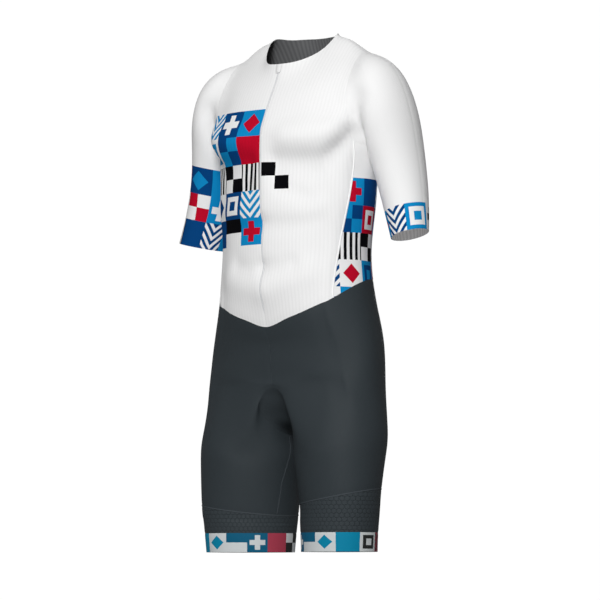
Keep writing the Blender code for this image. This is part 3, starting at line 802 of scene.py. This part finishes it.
def inside_material(name, colour, painted_glow=0.0):
    """The cloth's inner face: painted shade in its rib grooves, and a painted glow for light through
    thin cloth.
    """
    made, shader, across, along = new_cloth(name, 0.9, 0.1)
    # A painted glow: the inner face shines by itself in place of light coming through the cloth.
    shader.inputs["Emission Color"].default_value = colour
    shader.inputs["Emission Strength"].default_value = painted_glow
    rib = (across / RIB_PITCH).wave()
    groove = (*(part * INSIDE_GROOVE_PAINTED_SHADE for part in colour[:3]), 1)
    finish_cloth(shader, rib.pick(groove, colour), rib, INSIDE_RELIEF)
    return made


def knit_stitches(across, along):
    """Height of a plain knit's small round stitches."""
    return (across / KNIT_PITCH).wave() * (along / KNIT_PITCH).wave()


def ribbed_white(name, blocks):
    """White rib knit with any printed blocks on it, its grooves darkened with painted shade."""
    made, shader, across, along = new_cloth(name, 0.85, 0.05)
    ridge = (across / RIB_PITCH).wave().math("POWER", RIB_ROUNDNESS)
    colour = WHITE
    for block in blocks:
        ink, inside = printed(across, along, block)
        colour = inside.pick(colour, ink)
    # painted shade in the grooves, laid over the white and the print
    shade = ridge.pick(RIB_GROOVE_PAINTED_SHADE, (1, 1, 1, 1))
    shaded = shade.node("ShaderNodeMix", {"data_type": "RGBA", "blend_type": "MULTIPLY"},
                        {0: 1.0, 6: colour, 7: shade}, 2)
    finish_cloth(shader, shaded, ridge + knit_stitches(across, along) * KNIT_SHARE, RIB_RELIEF)
    return made


CHEST_PRINT = Block(-0.141, (0.053, 0.0487), -4, tiles(
    "white, chevron white sky, plus white navy, diamond red sky, white",
    "half navy sky, frame sky white, checks navy sky, red, white",
    "bars black white, bars black white, checks black white, bars black white, checks black white",
    "red, diamond navy white, frame white navy, chevron sky white, white",
    "white, navy, half black white, plus red sky, white",
))
rib_knit = ribbed_white("rib_knit_front", [CHEST_PRINT])
# The body's inner face is white knit painted dark grey: painted shade for the shadow inside the
# suit.
painted_shade_inside = inside_material("inside_of_body_painted_shade", (0.16, 0.163, 0.168, 1))


def zip_gap(height, beside_zip):
    """Half of a width (m) that is beside_zip mm along the zip and closes up at its lower end."""
    share = min(max((height - ZIP_TIP) / (ZIP_END - ZIP_TIP), 0), 1)
    return (SEAM_CLEAR + (beside_zip - SEAM_CLEAR) * share) * MM


def zip_edge(outer, cut_line):
    """Beside the zip a front stops short of the centre line; below it the two fronts meet."""
    side = 1 if outer[:, 0].mean() > 0 else -1
    for k, place in enumerate(cut_line):
        if abs(place[0]) < ON_CENTRE * MM:
            outer[k, 0] = side * zip_gap(place[2] / MM, ZIP_EDGE)


for side in (1, -1):
    front = panel_of_cloth(side_name("front", side), (rib_knit, painted_shade_inside), upright_grain,
                           edge_rule=zip_edge)

# ---- Back ---------------------------------------------------------------------------------
# One piece of the same ribbed knit from the shoulder seams to the waist, sewn to the side
# panels and to the backs of the sleeves; plain white all over.
back_knit = ribbed_white("rib_knit_back", [])
back = panel_of_cloth("back", (back_knit, painted_shade_inside), upright_grain)

# ---- Side panels --------------------------------------------------------------------------
# Long panels of smooth white knit under the arms, plain at the top and printed below. Each is
# joined to the front and the back by a flat raised seam, a narrow band of cover stitching.
SIDE_PRINT = Block(-0.268, (0.050, 0.0487), 1, tiles(
    "frame sky navy, half sky white, plus red sky, navy, chevron white sky",
    "sky, diamond white navy, checks sky navy, frame white red, half navy sky",
    "checks black white, bars black white, bars black white, checks black white, bars black white",
    "half red white, chevron navy white, diamond red white, frame navy sky, red",
    "sky, plus navy white, half sky navy, bars black white, diamond white red",
))
SMOOTH_RELIEF = 0.00012
SIDE_SEAM = (1.5, 0.6)  # half width and height of the stitching (mm)
SEAM_PROFILE = ((-1, -0.6), (-1, 0.1), (-0.7, 0.75), (0, 1), (0.7, 0.75), (1, 0.1), (1, -0.6))


def smooth_white(name, block, wrap=False):
    """Smooth white knit, its print mirrored about the centre front or wrapped round a sleeve."""
    made, shader, across, along = new_cloth(name, 0.8, 0.05)
    ink, inside = printed(across if wrap else abs(across), along, block, wrap=wrap)
    finish_cloth(shader, inside.pick(WHITE, ink), knit_stitches(across, along), SMOOTH_RELIEF)
    return made


def seam_path(first, second):
    """The fitted surface's points, with their normals, along the join of two panels."""
    edges = [set(), set()]
    for found, name in zip(edges, (first, second)):
        own = cells_of(name)
        for k in range(4):
            found.update(zip(own[:, k].tolist(), own[:, (k + 1) % 4].tolist()))
    onward = {a: b for a, b in edges[0] if (b, a) in edges[1]}
    reached = set(onward.values())
    start = next((a for a in onward if a not in reached), next(iter(onward)))
    path = [start]
    while path[-1] in onward and (len(path) == 1 or path[-1] != start):
        path.append(onward[path[-1]])
    return skin[path], lean[path]


def bar_faces(rings, corners):
    """Faces of a bar that runs through rings of so many corners, closed at both ends."""
    faces = []
    for r in range(rings - 1):
        for k in range(corners):
            after = (k + 1) % corners
            faces.append((r * corners + k, r * corners + after,
                          (r + 1) * corners + after, (r + 1) * corners + k))
    last = (rings - 1) * corners
    return faces + [tuple(range(corners))[::-1], tuple(range(last, last + corners))]


def raised_seam(name, line, size, material):
    """A low rounded ribbon along a line on the cloth, given as its points and normals."""
    (points, normals), (half_width, height) = line, size
    verts = []
    for point, normal, tangent in zip(points, normals, np.gradient(points, axis=0)):
        across = np.cross(normal, tangent)
        across /= np.linalg.norm(across)
        verts += [point + (across * out * half_width + normal * up * height) * MM
                  for out, up in SEAM_PROFILE]
    return make_piece(name, verts, bar_faces(len(points), len(SEAM_PROFILE)), (material,))


side_knit = smooth_white("smooth_knit_side", SIDE_PRINT)
white_stitch = plain_material("white_cover_stitch", (0.93, 0.93, 0.93), 0.7, 0.1)
for side in (1, -1):
    name = side_name("side", side)
    panel = panel_of_cloth(name, (side_knit, painted_shade_inside), body_grain)
    for label, other in (("front", side_name("front", side)), ("back", "back")):
        raised_seam(side_name("side_seam_" + label, side), seam_path(name, other),
                                 SIDE_SEAM, white_stitch)

# ---- Sleeves ------------------------------------------------------------------------------
# Two-piece sleeves of smooth white knit, seamed over and under the arm, sewn into the armholes
# and ending above the elbow. The right one is printed over its lower half, the left one in one
# row at the cuff.
CUFF = SLEEVE[-1]
SLEEVE_ROUND = 0.0435           # mean radius that the print runs round on
SLEEVE_TILES = 6                # in one row round the arm
SLEEVE_TILE = (2 * math.pi * SLEEVE_ROUND / SLEEVE_TILES, 0.0487)
SLEEVE_PAINTED_GLOW = 0.07             # painted glow of the inner face, standing in for the light that the thin knit lets in
cuff_axis = np.array((-math.sin(math.radians(CUFF.tilt)), 0, math.cos(math.radians(CUFF.tilt))))


def sleeve_grain(side):
    """Round the arm from its outermost line towards the front, and up from the cuff."""
    def angle_of(points):
        heights = np.clip(points[:, 2] / MM, CUFF.z, SLEEVE[0].z)
        centres = np.array([read_table(SLEEVE, z, (0, 1)) for z in heights]) * MM
        return np.arctan2(centres[:, 1] - points[:, 1], points[:, 0] * side - centres[:, 0])

    def grain(corners):
        from_cuff = corners * (side, 1, 1) - np.array((CUFF.x, CUFF.y, CUFF.z)) * MM
        return unrolled(angle_of, corners) * SLEEVE_ROUND, from_cuff @ cuff_axis
    return grain


RIGHT_SLEEVE_PRINT = Block(3 * SLEEVE_TILE[1], SLEEVE_TILE, 0, tiles(
    "half red navy, diamond sky navy, sky, plus navy white, chevron sky white, navy",
    "frame black white, checks red white, plus white sky, white, half navy sky, diamond red white",
    "bars black white, navy, chevron navy white, diamond white sky, checks black white, red",
))
LEFT_CUFF_PRINT = Block(SLEEVE_TILE[1], SLEEVE_TILE, 0, tiles(
    "frame white sky, chevron white navy, diamond red sky, navy, checks sky white, plus black white",
))
sleeve_inside = inside_material("inside_of_sleeve", (0.85, 0.84, 0.84, 1), SLEEVE_PAINTED_GLOW)
for side, block in ((1, LEFT_CUFF_PRINT), (-1, RIGHT_SLEEVE_PRINT)):
    knit = smooth_white(side_name("smooth_knit_sleeve", side), block, wrap=True)
    for half in ("sleeve_front", "sleeve_back"):
        made = panel_of_cloth(side_name(half, side), (knit, sleeve_inside), sleeve_grain(side))

# ---- Shorts: legs and gusset --------------------------------------------------------------
# Two panels of charcoal warp knit that meet at the centre front and back, and a saddle-shaped
# gusset between the thighs. Smooth, dense and a little shiny where it is stretched.
CHARCOAL = (0.037, 0.0465, 0.0525, 1)
# Painted shade: darker between the wales, where the knit dips.
CHARCOAL_GROOVE_PAINTED_SHADE = (0.024, 0.031, 0.036, 1)
COURSE_PITCH = 0.8 * KNIT_PITCH
WARP_PARTS = (0.6, 0.4)         # share of the upright wales and of the cross courses
WARP_RELIEF = 0.00012
LEG_ROUND = 0.078               # mean radius that the grain runs round on
LEG_MIDDLE_Y = 0.004
INSEAM_SIZE = (1.0, 0.4)
STITCH_STEP, NEAREST = 3.0, 4   # mm from point to point of a seam, each from so many of the cloth's


def leg_grain(side, radius=LEG_ROUND):
    """Round the leg from the front towards the outside, and up."""
    def angle_of(points):
        return np.arctan2(points[:, 0] * side - LEG_HEM.x * MM, LEG_MIDDLE_Y - points[:, 1])

    def grain(corners):
        return unrolled(angle_of, corners) * radius, corners[:, :, 2]
    return grain


# The inseam of a leg runs down its inner face from the gusset's edge.
INSEAM = ((19, 9, -717), (17, -2, -762), (17, -14, -812), (20, -20, -864))
charcoal_inside = inside_material("inside_of_shorts", (0.05, 0.055, 0.06, 1))
charcoal, shader, across, along = new_cloth("charcoal_warp_knit", 0.6, 0.16)
wale, course = (across / KNIT_PITCH).wave(), (along / COURSE_PITCH).wave()
# the colour darkens where the wales dip: painted shade
finish_cloth(shader, wale.pick(CHARCOAL_GROOVE_PAINTED_SHADE, CHARCOAL),
             wale * WARP_PARTS[0] + course * WARP_PARTS[1], WARP_RELIEF)
dark_stitch = plain_material("charcoal_cover_stitch", (0.052, 0.062, 0.070), 0.7, 0.1)


def laid_on(name, line):
    """Points of a panel's surface, with their normals, closest to a line given in mm."""
    own = np.unique(cells_of(name))
    lengths = lengths_along([np.array(p) for p in line])
    points, normals = [], []
    for length in np.arange(0, lengths[-1], STITCH_STEP):
        place = np.array([np.interp(length, lengths, axis) for axis in zip(*line)]) * MM
        distance = np.linalg.norm(skin[own] - place, axis=1)
        near = np.argsort(distance)[:NEAREST]
        weight = 1 / (distance[near] + 1e-6)
        share = (weight / weight.sum())[:, None]
        points.append((skin[own[near]] * share).sum(axis=0))
        normal = (lean[own[near]] * share).sum(axis=0)
        normals.append(normal / np.linalg.norm(normal))
    return np.array(points), np.array(normals)


for side in (1, -1):
    leg = panel_of_cloth(side_name("leg", side), (charcoal, charcoal_inside), leg_grain(side))
    line = laid_on(side_name("leg", side), [(x * side, y, z) for x, y, z in INSEAM])
    inseam = raised_seam(side_name("inseam", side), line, INSEAM_SIZE, dark_stitch)
gusset = panel_of_cloth("gusset", (charcoal, charcoal_inside), body_grain)

# ---- Thigh panels -------------------------------------------------------------------------
# Lower thigh panels of the same charcoal knit, embossed all over with small hexagons and sewn
# under the legs' lower edges with a raised seam. The right one is the shorter.
HEXAGON, EMBOSSING = 0.0085, 0.0007     # from side to side, and height
GROOVE_AT, TOP_AT = 0.50, 0.36          # shares of a hexagon's width from its middle
# Painted shade: the grooves round the hexagons are darker than their tops.
EMBOSSED_GROOVE_PAINTED_SHADE, EMBOSSED_TOP = (0.029, 0.038, 0.043, 1), (0.036, 0.045, 0.051, 1)
THIGH_SEAM = (1.2, 0.45)


def hexagons(across, along):
    """Height of the embossing: 1 on a hexagon, falling to 0 in the groove round it."""
    span = math.sqrt(3)

    def from_middle(shift):
        x = abs((across / HEXAGON + shift).fraction() - 0.5)
        y = abs(((along / (HEXAGON * span) + shift).fraction() - 0.5) * span)
        return x.math("MAXIMUM", x * 0.5 + y * (span / 2))

    nearest = from_middle(0.0).math("MINIMUM", from_middle(0.5))
    return nearest.node("ShaderNodeMapRange", {"interpolation_type": "SMOOTHSTEP"},
                        {"Value": nearest, "From Min": GROOVE_AT, "From Max": TOP_AT})


embossed, shader, across, along = new_cloth("embossed_knit", 0.65, 0.16)
raised = hexagons(across, along)
finish_cloth(shader, raised.pick(EMBOSSED_GROOVE_PAINTED_SHADE, EMBOSSED_TOP), raised, EMBOSSING)
for side in (1, -1):
    name = side_name("thigh_panel", side)
    thigh = panel_of_cloth(name, (embossed, charcoal_inside), leg_grain(side))
    seam = raised_seam(side_name("thigh_seam", side), seam_path(side_name("leg", side), name),
                       THIGH_SEAM, dark_stitch)

# ---- Leg bands ----------------------------------------------------------------------------
# Knitted elastic bands that grip the thigh, sewn to the lower edges of the thigh panels, with a
# single printed row of tiles in quieter inks.
BAND_ROUND = 0.0745
BAND_TILES = 12                 # round the leg
BAND_TILE = (2 * math.pi * BAND_ROUND / BAND_TILES, 0.0345)
BAND_WALL, BAND_RELIEF = 1.5, 0.0001
BAND_INKS = {
    "white": (0.60, 0.63, 0.64, 1), "sky": (0.002, 0.22, 0.37, 1), "navy": (0.004, 0.10, 0.19, 1),
    "red": (0.37, 0.046, 0.078, 1), "black": (0.024, 0.026, 0.026, 1),
}
BAND_PRINT = Block(-0.8975, BAND_TILE, 0, tiles(
    "diamond sky white, sky, frame black white, chevron red black, bars black white, navy,"
    "frame white red, half sky navy, checks black white, red, plus white navy, half navy white",
))
band_knit, shader, across, along = new_cloth("printed_elastic", 0.6, 0.1)
ink, inside = printed(across, along, BAND_PRINT, BAND_INKS, wrap=True)
finish_cloth(shader, inside.pick(BAND_INKS["black"], ink), knit_stitches(across, along), BAND_RELIEF)
for side in (1, -1):
    band = panel_of_cloth(side_name("leg_band", side), (band_knit, charcoal_inside),
                          leg_grain(side, BAND_ROUND), wall=BAND_WALL)

# ---- Zip ----------------------------------------------------------------------------------
# A closed nylon coil sewn between the two fronts, its slider parked at the top under a small
# cap of cloth.
ZIP_TOP = -56.0
TOOTH, COIL_STEP = 1.4, 0.35    # pitch of the teeth, and length between two rings of points
COIL_CLEAR = 0.12               # between the coil and a front's edge
COIL_DEPTH, COIL_RIM = 0.8, 0.05        # its root lies this deep and its rim this high (mm)
COIL_VALLEY, COIL_TEETH = 0.2, 0.3      # height between two teeth, and a tooth's own
COIL_TOP = 0.55                 # width of its top against its rim
centre_line = sorted({int(v) for v in cells_of("front_left").ravel()
                      if abs(skin[v][0]) < ON_CENTRE * MM}, key=lambda v: -skin[v][2])
line_depths = -skin[centre_line][:, 2]


def on_centre_line(height):
    """Place and normal on the centre front at a height in mm."""
    place, normal = (np.array([np.interp(-height * MM, line_depths, axis)
                               for axis in table[centre_line].T]) for table in (skin, lean))
    return place, normal / np.linalg.norm(normal)


verts = []
heights = np.arange(ZIP_TOP - 0.3, ZIP_TIP, -COIL_STEP)
for height in heights:
    place, normal = on_centre_line(height)
    side = np.array((zip_gap(height, ZIP_EDGE - COIL_CLEAR), 0, 0))
    tooth = 0.5 - 0.5 * math.cos(2 * math.pi * height / TOOTH)
    root, rim, crown = (place + normal * rise * MM
                        for rise in (-COIL_DEPTH, COIL_RIM, COIL_VALLEY + COIL_TEETH * tooth))
    verts += [root - side, root + side, rim + side, crown + side * COIL_TOP,
              crown - side * COIL_TOP, rim - side]
nylon = plain_material("zip_nylon", (0.70, 0.71, 0.72), 0.4, 0.5)
zip_coil = make_piece("zip_coil", verts, bar_faces(len(heights), 6), (nylon,))
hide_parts("zip")

for node, finish in (
    ("zip_slider", plain_material("lacquered_slider", (0.6, 0.61, 0.63), 0.3, 0.5)),
    ("zip_garage", plain_material("zip_cap_cloth", (0.76, 0.76, 0.76), 0.8, 0.05)),
):
    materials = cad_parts[node].data.materials
    materials.clear()
    materials.append(finish)
